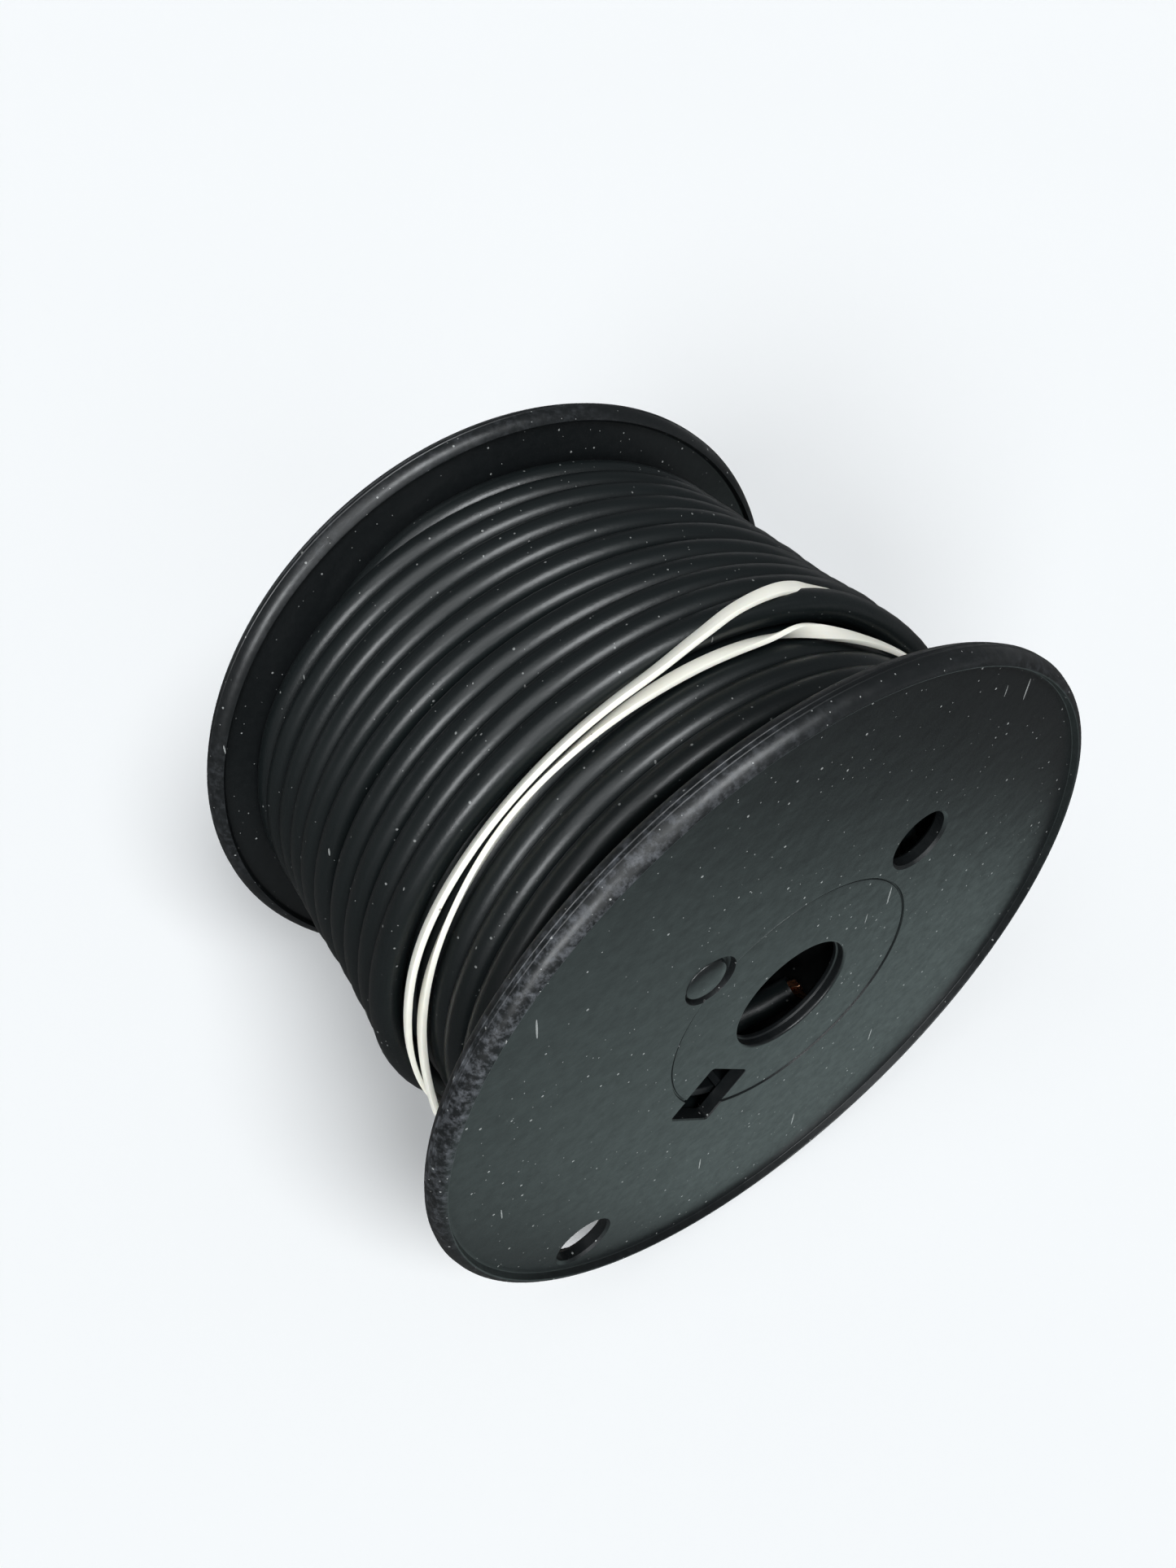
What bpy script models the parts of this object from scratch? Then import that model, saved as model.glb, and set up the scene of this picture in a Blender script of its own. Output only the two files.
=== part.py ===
"""Wire spool: two moulded flanges on a hollow barrel, wound with layers of black primary wire.

The spool lies on its two rims, with its axis level along Y and the near flange towards -Y.
The origin is on the axis, halfway between the flanges. Metres, +Z up.

Everything is modelled about a local Z axis, under one empty that lays that axis along world Y:
local X is world X, local Z is world Y, and local Y points down.
"""
import math

import bmesh
import bpy
from mathutils import Vector

# ---------------------------------------------------------------- driving dimensions
GAP = 0.0003                    # clearance between pieces that touch

FLANGE_RADIUS = 0.04445         # 3.5 in flange
SPOOL_WIDTH = 0.06086           # over both rims
FACETS = 62                     # puts a flat facet at the lowest point of each rim
RIM_THICKNESS = 0.0036          # along the axis
RIM_DEPTH = 0.0016              # radial height of the rim bead
RIM_ROUND = 0.0009              # the bead's outer edges are well rounded
RIM_INNER_ROUND = 0.0002
FACE_RECESS = 0.0010            # the outer face lies this far inside the rim
WEB_THICKNESS = 0.0017
ARBOR_RADIUS = 0.00762
ARBOR_CHAMFER = 0.0002
HUB_DISC_RADIUS = 0.01645       # very shallow sunk disc round the arbor hole
HUB_DISC_RECESS = 0.0001
SPIGOT_LENGTH = 0.0030          # ring that centres the barrel on the flange

BARREL_RADIUS = 0.0175
BARREL_BORE_RADIUS = 0.0163

WIRE_DIAMETER = 0.0035          # 12 gauge primary wire over its jacket
WIRE_RADIUS = WIRE_DIAMETER / 2
TURN_PITCH = 0.0035
LAYER_STEP = 0.00303            # each layer beds into the grooves of the one below
LAYERS = 7
TURNS_PER_LAYER = 15
OUTER_TURNS = 11                # the outer layer stops short of the near flange
BARE_TURNS = 5                  # turns of the layer below that this leaves in view
OUTER_END = 0.02565             # axial place of the outer layer's turn next to the far flange
LAST_TURN_LIFT = 0.0008         # the last turn rides a little higher

STRAND_RADIUS = 0.000195
STRAND_PITCH = 0.00043
STRAND_STICK_OUT = 0.0003
CONDUCTOR_BORE = 0.0012
CONDUCTOR_BORE_DEPTH = 0.0030

BAND_WIDTH = 0.0015
BAND_THICKNESS = 0.0006

# Features of a flange face, as (distance from the axis, angle above +X) seen from outside.
START_HOLE = (0.0221, math.radians(46.5))
START_HOLE_RADIUS = 0.0037
RIM_HOLE = (0.0384, math.radians(-135.5))
RIM_HOLE_RADIUS = 0.0035
DRIVE_HOLE = (0.0150, math.radians(-134.0))
DRIVE_HOLE_SIDE = 0.0077
GATE = (0.01815, math.radians(135.0))
GATE_RADIUS = 0.0031
GATE_DEPTH = 0.0009
GATE_STUB_RADIUS = 0.0023

HALF_WIDTH = SPOOL_WIDTH / 2
INNER_HALF = HALF_WIDTH - FACE_RECESS - WEB_THICKNESS   # axis centre to a flange's inner face

# Start of the wire, inside the barrel: from its hole near the far flange, along the bore, to the cut
# end behind the arbor hole. Points are (angle above +X in degrees, axial place, distance from axis).
START_TAIL = (
    (-236, 0.0224, 0.01645),
    (-218, 0.0216, 0.0152),
    (-200, 0.0186, 0.0145),
    (-182, 0.0130, 0.0144),
    (-168, 0.0060, 0.0144),
    (-157, -0.0015, 0.0144),
    (-145, -0.0090, 0.0144),
    (-128, -0.0156, 0.0144),
    (-110, -0.0196, 0.0143),
    (-94.1, -0.0217, 0.01394),
    (-81.7, -0.0227, 0.01324),
    (-69.2, -0.0234, 0.01294),
    (-58.4, -0.0240, 0.0128),
)
WIRE_HOLE_RADIUS = 0.0030       # where the wire passes the barrel wall

# End of the wire: it carries on from the last turn, round the side that lies away, under the band.
FINISH_ARC = (38.0, -78.0)      # degrees above +X
FINISH_ADVANCE = -0.0012

# Rubber band, doubled round the winding: (angle above +X seen from the near side in degrees,
# axial place, distance from the axis) on two laps that cross once on the hidden side.
BAND_ROUTE = (
    (-170, -0.0128, 0.0380), (-190, -0.0122, 0.0381), (-205, -0.0120, 0.0384),
    (-222, -0.0120, 0.0384), (-236, -0.0124, 0.0384), (-250, -0.0128, 0.0385),
    (-262, -0.0119, 0.0391), (-272, -0.0106, 0.0406), (-284, -0.0092, 0.0413),
    (-300, -0.0080, 0.0410), (-320, -0.0074, 0.0402), (-350, -0.0072, 0.0400),
    (-385, -0.0072, 0.0400), (-420, -0.0073, 0.0400), (-450, -0.0078, 0.0402),
    (-475, -0.0090, 0.0412), (-498, -0.0112, 0.0410), (-514, -0.0132, 0.0396),
    (-530, -0.0146, 0.0379), (-550, -0.0130, 0.0369), (-570, -0.0127, 0.0368),
    (-590, -0.0120, 0.0368), (-612, -0.0123, 0.0368), (-630, -0.0126, 0.0368),
    (-646, -0.0138, 0.0368), (-665, -0.0155, 0.0368), (-690, -0.0172, 0.0368),
    (-720, -0.0180, 0.0368), (-755, -0.0182, 0.0368), (-795, -0.0181, 0.0368),
    (-835, -0.0174, 0.0368), (-860, -0.0158, 0.0370), (-878, -0.0140, 0.0374),
)
BAND_STEPS = 4                  # curve points between two route points

BLACK_PLASTIC = (0.045, 0.052, 0.056, 1.0)
BLACK_JACKET = (0.018, 0.021, 0.024, 1.0)
COPPER = (0.72, 0.36, 0.20, 1.0)
CREAM_RUBBER = (0.76, 0.73, 0.63, 1.0)


# ---------------------------------------------------------------- scene and helpers
def clear_scene():
    for item in list(bpy.data.objects):
        bpy.data.objects.remove(item, do_unlink=True)


def new_collection(name):
    collection = bpy.data.collections.new(name)
    bpy.context.scene.collection.children.link(collection)
    return collection


def material(name, colour, roughness, metallic=0.0):
    made = bpy.data.materials.new(name)
    made.use_nodes = True
    shader = made.node_tree.nodes["Principled BSDF"]
    shader.inputs["Base Color"].default_value = colour
    shader.inputs["Roughness"].default_value = roughness
    shader.inputs["Metallic"].default_value = metallic
    made.diffuse_color = colour
    return made


def add_part(name, data, mat):
    part = bpy.data.objects.new(name, data)
    part.parent = axis_frame
    data.materials.append(mat)
    parts.objects.link(part)
    return part


def add_cutter(name, mesh):
    cutter = bpy.data.objects.new(name, mesh)
    cutter.parent = axis_frame
    cutter.hide_render = True
    cutter.display_type = "WIRE"
    cutters.objects.link(cutter)
    return cutter


def around(degrees, height, radius):
    """Local place from an angle above world +X, an axial place and a distance from the axis."""
    angle = math.radians(degrees)
    return Vector((radius * math.cos(angle), -radius * math.sin(angle), height))


def on_face(place, side):
    """Local x, y of a feature given by its distance and angle; the far flange is the same part, turned."""
    distance, angle = place
    return -side * distance * math.cos(angle), -distance * math.sin(angle)


def boolean(part, cutter, operation="DIFFERENCE"):
    step = part.modifiers.new(cutter.name, "BOOLEAN")
    step.object = cutter
    step.operation = operation
    step.solver = "EXACT"


def profile_mesh(name, points, closed):
    """A chain of edges in the XZ plane, from (radius, height) points."""
    mesh = bpy.data.meshes.new(name)
    shape = bmesh.new()
    corners = [shape.verts.new((radius, 0.0, height)) for radius, height in points]
    for first, second in zip(corners, corners[1:]):
        shape.edges.new((first, second))
    if closed:
        shape.edges.new((corners[-1], corners[0]))
    shape.to_mesh(mesh)
    shape.free()
    return mesh


def turned(name, points, mat, steps):
    """A ring turned about the axis; its profile runs down the outer side, top to bottom."""
    part = add_part(name, profile_mesh(name, points, closed=True), mat)
    screw = part.modifiers.new("Turn", "SCREW")
    screw.axis = "Z"
    screw.steps = steps
    screw.render_steps = steps
    screw.use_merge_vertices = True
    screw.merge_threshold = 0.00001
    screw.use_smooth_shade = True
    return part


def cylinder_mesh(name, radius, low, high, centre, segments):
    """A plain cylinder along the local axis."""
    mesh = bpy.data.meshes.new(name)
    shape = bmesh.new()
    bmesh.ops.create_cone(
        shape, cap_ends=True, segments=segments, radius1=radius, radius2=radius, depth=high - low
    )
    middle = Vector((centre[0], centre[1], (low + high) / 2))
    bmesh.ops.translate(shape, verts=shape.verts, vec=middle)
    shape.to_mesh(mesh)
    shape.free()
    return mesh


def rod_mesh(name, radius, start, end, segments):
    """A plain cylinder between two points."""
    mesh = bpy.data.meshes.new(name)
    shape = bmesh.new()
    run = end - start
    bmesh.ops.create_cone(
        shape, cap_ends=True, segments=segments, radius1=radius, radius2=radius, depth=run.length
    )
    turn = Vector((0.0, 0.0, 1.0)).rotation_difference(run.normalized())
    bmesh.ops.rotate(shape, verts=shape.verts, cent=(0.0, 0.0, 0.0), matrix=turn.to_matrix())
    bmesh.ops.translate(shape, verts=shape.verts, vec=(start + end) / 2)
    shape.to_mesh(mesh)
    shape.free()
    return mesh


def smooth_route(points, steps, closed=False):
    """A Catmull-Rom curve through the points, sampled for a POLY spline."""
    count = len(points)
    spans = count if closed else count - 1
    route = []
    for index in range(spans):
        ends = []
        for shift in (-1, 0, 1, 2):
            place = index + shift
            ends.append(points[place % count] if closed else points[min(max(place, 0), count - 1)])
        before, first, second, after = ends
        for step in range(steps):
            t = step / steps
            route.append(0.5 * (
                2 * first + (second - before) * t
                + (2 * before - 5 * first + 4 * second - after) * t * t
                + (3 * first - before - 3 * second + after) * t * t * t
            ))
    if not closed:
        route.append(points[-1].copy())
    return route


def poly_curve(name, route, closed=False):
    data = bpy.data.curves.new(name, "CURVE")
    data.dimensions = "3D"
    spline = data.splines.new("POLY")
    spline.points.add(len(route) - 1)
    for point, place in zip(spline.points, route):
        point.co = (*place, 1.0)
    spline.use_cyclic_u = closed
    return data


def tube(name, route, radius, mat):
    """A round wire along a route, made a mesh with welded caps so that it can be cut."""
    data = poly_curve(name, route)
    data.bevel_depth = radius
    data.bevel_resolution = 2
    data.use_fill_caps = True
    guide = bpy.data.objects.new(name + "_guide", data)
    parts.objects.link(guide)
    bpy.context.view_layer.update()
    evaluated = guide.evaluated_get(bpy.context.evaluated_depsgraph_get())
    mesh = bpy.data.meshes.new_from_object(evaluated)
    mesh.name = name
    bpy.data.objects.remove(guide, do_unlink=True)
    shape = bmesh.new()
    shape.from_mesh(mesh)
    bmesh.ops.remove_doubles(shape, verts=shape.verts, dist=0.00001)
    shape.to_mesh(mesh)
    shape.free()
    mesh.shade_smooth()
    return add_part(name, mesh, mat)


# ---------------------------------------------------------------- spool body
def flange_profile(side):
    """Closed outline of a flange: bore, outer face, rim bead, inner face, spigot."""
    rim_inner = FLANGE_RADIUS - RIM_DEPTH
    web_back = FACE_RECESS + WEB_THICKNESS
    hub_face = FACE_RECESS + HUB_DISC_RECESS
    spigot_outer = BARREL_BORE_RADIUS - GAP
    spigot_inner = spigot_outer - 0.0009
    depths = [
        (ARBOR_RADIUS, hub_face + ARBOR_CHAMFER),
        (ARBOR_RADIUS + ARBOR_CHAMFER, hub_face),
        (HUB_DISC_RADIUS - 0.0002, hub_face),
        (HUB_DISC_RADIUS, FACE_RECESS),
        (rim_inner, FACE_RECESS),
        (rim_inner, RIM_INNER_ROUND),
        (rim_inner + RIM_INNER_ROUND, 0.0),
        (FLANGE_RADIUS - RIM_ROUND, 0.0),
        (FLANGE_RADIUS, RIM_ROUND),
        (FLANGE_RADIUS, RIM_THICKNESS - RIM_ROUND),
        (FLANGE_RADIUS - RIM_ROUND, RIM_THICKNESS),
        (rim_inner, RIM_THICKNESS),
        (rim_inner - RIM_ROUND / 2, web_back),
        (spigot_outer, web_back),
        (spigot_outer, web_back + SPIGOT_LENGTH),
        (spigot_inner, web_back + SPIGOT_LENGTH),
        (spigot_inner, web_back),
        (ARBOR_RADIUS, web_back),
    ]
    points = [(radius, side * (HALF_WIDTH - depth)) for radius, depth in depths]
    if side < 0:
        points.reverse()
    return points


def axial_span(side, first_depth, second_depth):
    """Low and high ends, along the axis, of a stretch given as depths below the rim."""
    ends = (side * (HALF_WIDTH - first_depth), side * (HALF_WIDTH - second_depth))
    return min(ends), max(ends)


def cut_round_hole(part, side, place, radius, label):
    low, high = axial_span(side, -0.001, FACE_RECESS + WEB_THICKNESS + 0.001)
    mesh = cylinder_mesh(label, radius, low, high, on_face(place, side), 28)
    boolean(part, add_cutter(part.name + "_" + label, mesh))


def cut_drive_hole(part, side):
    """A square hole for a driving dog, set square to its own radius."""
    name = part.name + "_drive_hole"
    x, y = on_face(DRIVE_HOLE, side)
    low, high = axial_span(side, -0.001, FACE_RECESS + WEB_THICKNESS + SPIGOT_LENGTH + 0.001)
    mesh = bpy.data.meshes.new(name)
    shape = bmesh.new()
    bmesh.ops.create_cube(shape, size=1.0)
    bmesh.ops.scale(shape, verts=shape.verts, vec=(DRIVE_HOLE_SIDE, DRIVE_HOLE_SIDE, high - low))
    shape.to_mesh(mesh)
    shape.free()
    cutter = add_cutter(name, mesh)
    cutter.location = (x, y, (low + high) / 2)
    cutter.rotation_euler = (0.0, 0.0, math.atan2(y, x))
    boolean(part, cutter)


def cut_gate_well(part, side):
    """The moulding gate: a round well with the stub of the gate standing in it."""
    centre = on_face(GATE, side)
    low, high = axial_span(side, -0.001, FACE_RECESS + GATE_DEPTH)
    well = cylinder_mesh("gate_well", GATE_RADIUS, low, high, centre, 28)
    boolean(part, add_cutter(part.name + "_gate_well", well))
    outward = Vector(centre).normalized() * (GATE_RADIUS - GATE_STUB_RADIUS - 0.0002)
    stub_centre = (centre[0] + outward.x, centre[1] + outward.y)
    low, high = axial_span(side, FACE_RECESS + 0.0002, FACE_RECESS + GATE_DEPTH + 0.0004)
    stub = cylinder_mesh("gate_stub", GATE_STUB_RADIUS, low, high, stub_centre, 20)
    boolean(part, add_cutter(part.name + "_gate_stub", stub), "UNION")


def make_flange(name, side, mat):
    part = turned(name, flange_profile(side), mat, FACETS)
    cut_round_hole(part, side, START_HOLE, START_HOLE_RADIUS, "start_hole")
    cut_round_hole(part, side, RIM_HOLE, RIM_HOLE_RADIUS, "rim_hole")
    cut_drive_hole(part, side)
    cut_gate_well(part, side)


def make_barrel(mat):
    """The hollow barrel, held between the flanges on their spigots, with the wire's entry hole."""
    half = INNER_HALF - GAP
    points = [
        (BARREL_RADIUS, half),
        (BARREL_RADIUS, -half),
        (BARREL_BORE_RADIUS, -half),
        (BARREL_BORE_RADIUS, half),
    ]
    part = turned("barrel", points, mat, 40)
    outside, inside = (around(*START_TAIL[index]) for index in (0, 2))
    reach = (inside - outside) * 0.6
    hole = rod_mesh("wire_hole", WIRE_HOLE_RADIUS, outside - reach, inside + reach, 20)
    boolean(part, add_cutter("barrel_wire_hole", hole))


# ---------------------------------------------------------------- winding
def layer_radius(number):
    """Distance from the axis to the middle of the wire in a layer, counted from 1."""
    return BARREL_RADIUS + WIRE_RADIUS + (number - 1) * LAYER_STEP


def scalloped(centre, radius):
    """Outline of one turn as (radius, height), from its top groove down, without the bottom one."""
    return [
        (radius, centre + WIRE_RADIUS),
        (radius + WIRE_RADIUS * 0.85, centre + WIRE_RADIUS * 0.55),
        (radius + WIRE_RADIUS * 0.85, centre - WIRE_RADIUS * 0.55),
    ]


def make_layer(number, mat):
    """One layer as a ring; turns are shaped only where the layer shows."""
    middle = layer_radius(number)
    crest = middle + WIRE_RADIUS
    inner = crest - LAYER_STEP + GAP
    shift = TURN_PITCH / 4 if number % 2 else -TURN_PITCH / 4
    high = shift + TURNS_PER_LAYER * TURN_PITCH / 2
    low = shift - TURNS_PER_LAYER * TURN_PITCH / 2
    if number == LAYERS:
        points = []
        for turn in range(OUTER_TURNS):
            last = turn == OUTER_TURNS - 1
            lift = LAST_TURN_LIFT if last else 0.0
            points += scalloped(OUTER_END - turn * TURN_PITCH, middle + lift)
        low = OUTER_END - (OUTER_TURNS - 1) * TURN_PITCH - WIRE_RADIUS
        high = OUTER_END + WIRE_RADIUS
        points.append((middle, low))
    elif number == LAYERS - 1:
        points = [(crest, high)]
        bare_top = low + BARE_TURNS * TURN_PITCH
        points.append((crest, bare_top))
        for turn in range(BARE_TURNS):
            points += scalloped(bare_top - (turn + 0.5) * TURN_PITCH, middle)
        points.append((middle, low))
    else:
        points = [(crest, high), (crest, low)]
    points += [(inner, low), (inner, high)]
    turned("wire_layer_%d" % number, points, mat, 40)


def start_route():
    return smooth_route([around(*point) for point in START_TAIL], 4)


def finish_route():
    """The wire's last stretch, from under the near edge of the outer layer down the hidden side."""
    first, last = FINISH_ARC
    radius = layer_radius(LAYERS) + GAP
    height = OUTER_END - OUTER_TURNS * TURN_PITCH - GAP
    route = []
    steps = 30
    for step in range(steps + 1):
        share = step / steps
        route.append(around(first + (last - first) * share, height + FINISH_ADVANCE * share, radius))
    return route


def hexagon_places():
    """Nineteen strand centres: one, six round it and twelve round those."""
    places = []
    for row in range(-2, 3):
        for column in range(-2, 3):
            if abs(row + column) <= 2:
                places.append((STRAND_PITCH * (column + row / 2), STRAND_PITCH * row * math.sqrt(3) / 2))
    return places


def make_wire_end(name, route, jacket_mat, copper_mat):
    """A loose end of the wire: its jacket, bored for the conductor, and the strands in the bore."""
    jacket = tube(name + "_jacket", route, WIRE_RADIUS, jacket_mat)
    end = route[-1]
    direction = (route[-1] - route[-2]).normalized()
    bore_start = end - direction * CONDUCTOR_BORE_DEPTH
    bore = rod_mesh(name + "_bore", CONDUCTOR_BORE, bore_start, end + direction * 0.001, 16)
    boolean(jacket, add_cutter(name + "_bore", bore))
    across = direction.orthogonal().normalized()
    beside = direction.cross(across)
    foot = bore_start + direction * GAP
    tip = end + direction * STRAND_STICK_OUT
    for number, (u, v) in enumerate(hexagon_places(), start=1):
        offset = across * u + beside * v
        strand = rod_mesh("strand", STRAND_RADIUS, foot + offset, tip + offset, 6)
        strand.shade_smooth()
        add_part("%s_strand_%02d" % (name, number), strand, copper_mat)


# ---------------------------------------------------------------- rubber band
def band_route():
    points = [Vector(point) for point in BAND_ROUTE]
    lap = Vector((-720.0, 0.0, 0.0))
    unrolled = smooth_route([points[-1] - lap] + points + [points[0] + lap, points[1] + lap], BAND_STEPS)
    kept = unrolled[BAND_STEPS:-BAND_STEPS - 1]
    return [around(*point) for point in kept]


def make_band(mat):
    """A flat rubber band, wound twice round the pack, with its width along the spool's axis."""
    section = bpy.data.curves.new("band_section", "CURVE")
    section.dimensions = "2D"
    outline = section.splines.new("POLY")
    outline.points.add(3)
    corners = ((-1, -1), (-1, 1), (1, 1), (1, -1))
    for point, (across, up) in zip(outline.points, corners):
        point.co = (across * BAND_THICKNESS / 2, up * BAND_WIDTH / 2, 0.0, 1.0)
    outline.use_cyclic_u = True
    guide = add_cutter("band_section", section)
    data = poly_curve("rubber_band", band_route(), closed=True)
    data.twist_mode = "Z_UP"
    data.bevel_mode = "OBJECT"
    data.bevel_object = guide
    add_part("rubber_band", data, mat)


# ---------------------------------------------------------------- assembly
clear_scene()
parts = new_collection("wire_spool")
cutters = new_collection("wire_spool_cutters")
axis_frame = bpy.data.objects.new("spool_axis", None)
axis_frame.rotation_euler = (-math.pi / 2, 0.0, 0.0)
parts.objects.link(axis_frame)

flange_plastic = material("flange_plastic", BLACK_PLASTIC, 0.55)
barrel_plastic = material("barrel_plastic", BLACK_PLASTIC, 0.6)
jacket_vinyl = material("jacket_vinyl", BLACK_JACKET, 0.35)
bare_copper = material("bare_copper", COPPER, 0.3, 1.0)
band_rubber = material("band_rubber", CREAM_RUBBER, 0.7)

make_flange("near_flange", -1, flange_plastic)
make_flange("far_flange", 1, flange_plastic)
make_barrel(barrel_plastic)
for layer in range(1, LAYERS + 1):
    make_layer(layer, jacket_vinyl)
make_wire_end("start_end", start_route(), jacket_vinyl, bare_copper)
make_wire_end("finish_end", finish_route(), jacket_vinyl, bare_copper)
make_band(band_rubber)
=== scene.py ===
"""Looks for the wire spool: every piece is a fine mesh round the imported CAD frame, in metres, +Z up."""
import math
import random

import bmesh
import bpy
from mathutils import Matrix, Vector


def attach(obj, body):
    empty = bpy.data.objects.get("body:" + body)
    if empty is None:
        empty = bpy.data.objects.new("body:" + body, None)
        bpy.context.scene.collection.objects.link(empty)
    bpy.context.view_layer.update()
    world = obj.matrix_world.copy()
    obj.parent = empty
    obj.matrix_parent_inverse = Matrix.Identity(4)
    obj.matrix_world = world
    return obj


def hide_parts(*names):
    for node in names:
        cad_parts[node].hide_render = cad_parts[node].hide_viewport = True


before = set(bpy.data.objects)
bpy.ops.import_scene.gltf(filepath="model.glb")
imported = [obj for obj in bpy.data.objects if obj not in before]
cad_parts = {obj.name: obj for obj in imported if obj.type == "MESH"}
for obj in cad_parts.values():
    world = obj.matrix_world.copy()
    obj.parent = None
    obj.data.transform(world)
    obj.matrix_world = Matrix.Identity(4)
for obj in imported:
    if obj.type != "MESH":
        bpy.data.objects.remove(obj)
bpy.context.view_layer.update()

scene = bpy.context.scene

# ---------------------------------------------------------------- dimensions shared with the CAD
FLANGE_RADIUS = 0.04445
HALF_WIDTH = 0.03043
FACE_RECESS = 0.0010
WEB_THICKNESS = 0.0017
INNER_HALF = HALF_WIDTH - FACE_RECESS - WEB_THICKNESS
BARREL_RADIUS = 0.0175
BARREL_BORE_RADIUS = 0.0163
WIRE_DIAMETER = 0.0035
WIRE_RADIUS = WIRE_DIAMETER / 2
LAYER_STEP = 0.00303
# Features of a flange's face: (distance from the axis, degrees) and size.
START_HOLE, START_HOLE_RADIUS = (0.0221, 46.5), 0.0037
RIM_HOLE, RIM_HOLE_RADIUS = (0.0384, -135.5), 0.0035
DRIVE_HOLE, DRIVE_HOLE_SIDE, DRIVE_HOLE_CORNER = (0.0150, -134.0), 0.0077, 0.0005
GATE, GATE_RADIUS = (0.01815, 134.5), 0.0031
GATE_STUB_RADIUS, GATE_STUB_SHIFT = 0.0025, 0.0010

# The wire's start, from the cut end in the bore to the barrel's wall: (degrees above +X, y, radius).
START_TAIL = (
    (-58.4, -0.0240, 0.0128), (-69.2, -0.0234, 0.01294), (-81.7, -0.0227, 0.01324),
    (-94.1, -0.0217, 0.01394), (-110, -0.0196, 0.0143), (-128, -0.0156, 0.0144),
    (-145, -0.0090, 0.0144), (-157, -0.0015, 0.0144), (-168, 0.0060, 0.0144),
    (-182, 0.0130, 0.0144), (-200, 0.0186, 0.0145), (-218, 0.0216, 0.0152),
    (-236, 0.0224, 0.01645),
)
FINISH_ARC = (38.0, -78.0)              # degrees over which the finishing end runs to its cut
FINISH_PLACE = (-0.01315, -0.01435)     # axial place at each end of that arc
FINISH_RADIUS = 0.03773
FINISH_BLEND = 28.0                     # degrees in which the last turn goes over into that end

STRAND_RADIUS = 0.000195
STRAND_PITCH = 0.00043
STRAND_STICK_OUT = 0.0003
CONDUCTOR_BORE = 0.0012
CONDUCTOR_BORE_DEPTH = 0.0030
BAND_WIDTH = 0.0015
BAND_THICKNESS = 0.0006


def around(degrees, y, radius):
    """A place from its angle above +X seen from the near side, its axial place and its radius."""
    angle = math.radians(degrees)
    return Vector((radius * math.cos(angle), y, radius * math.sin(angle)))


def smoothstep(value, low, high):
    share = min(max((value - low) / (high - low), 0.0), 1.0)
    return share * share * (3 - 2 * share)


def curve_value(points, index, t):
    """A Catmull-Rom curve's value, a share t of the way from points[index] to the next one."""
    last = len(points) - 1
    a, b, c, d = (points[min(max(index + shift, 0), last)] for shift in (-1, 0, 1, 2))
    return 0.5 * (2 * b + (c - a) * t + (2 * a - 5 * b + 4 * c - d) * t * t
                  + (3 * b - a - 3 * c + d) * t * t * t)


def smooth_route(points, steps):
    """A smooth curve through Vectors, with so many steps to a span."""
    spans = range(len(points) - 1)
    route = [curve_value(points, index, step / steps) for index in spans for step in range(steps)]
    return route + [points[-1].copy()]


def table_value(table, place):
    """A smooth value from a list of numbers at whole places."""
    index = min(max(int(math.floor(place)), 0), len(table) - 2)
    return curve_value(table, index, min(max(place - index, 0.0), 1.0))


# ---------------------------------------------------------------- camera
CAMERA_PLACE = (-0.05798, -0.07369, 0.10315)
CAMERA_LENS, SENSOR_WIDTH = 25.07, 36.0             # millimetres
CAMERA_SHIFT = (0.00965, -0.0515)
CAMERA_CLIP = 0.005
CAMERA_RIGHT = Vector((0.8352, -0.5500, 0.0))
CAMERA_UP = Vector((0.3628, 0.5511, 0.7515))
VIEW_BACK = Vector((-0.4133, -0.6276, 0.6598))      # from the spool towards the camera

camera_data = bpy.data.cameras.new("photo_camera")
camera_data.sensor_width = SENSOR_WIDTH
camera_data.lens = CAMERA_LENS
camera_data.shift_x, camera_data.shift_y = CAMERA_SHIFT
camera_data.clip_start = CAMERA_CLIP
camera = bpy.data.objects.new("photo_camera", camera_data)
turn = Matrix((CAMERA_RIGHT, CAMERA_UP, VIEW_BACK)).transposed().to_4x4()
camera.matrix_world = Matrix.Translation(CAMERA_PLACE) @ turn
scene.collection.objects.link(camera)
scene.camera = camera


# ---------------------------------------------------------------- the wire's route
def layer_radius(number):
    """Radius of the wire's middle in a layer; the first lies on the barrel."""
    return BARREL_RADIUS + WIRE_RADIUS + (number - 1) * LAYER_STEP


FLANGE_STOP = INNER_HALF - WIRE_RADIUS - 0.00003    # farthest that a turn's middle can lie
TURN_REFERENCE = 112.0                              # the angle at which the turn tables hold
HIDDEN_STEPS = 24                                   # stations in a turn that doesn't show
SHOWN_STEPS = 96                                    # and in one that does
TAIL_STEPS = 6                                      # stations in each span of the start
TAIL_LANDING = ((-250, 0.0235, 0.0183), (-262.0, FLANGE_STOP - 0.0006, 0.01925))
LOWER_LAYERS = 5
LOWER_START = TAIL_LANDING[-1][0]
LOWER_TURNS = 73.2167                               # in all five, so that the fifth ends at the back
LOWER_CLIMB = 0.985                                 # share of a layer after which it climbs to the next
SIXTH_TURNS, SIXTH_REST = 13, 302.0                 # whole turns from the reference, then degrees
SIXTH_SHOWN = 5.6                                   # turns of the sixth layer that show
SIXTH_CLIMB = 150.0                                 # degrees in which it climbs from the fifth
OUTER_TURNS = 10
OUTER_RISE = (-62.0, 18.0)                          # degrees past the reference: the climb to it
LEAN_MIDDLE, LEAN_OFFSET = 120.0, 0.139             # these make the slant nil at the reference angle

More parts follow.
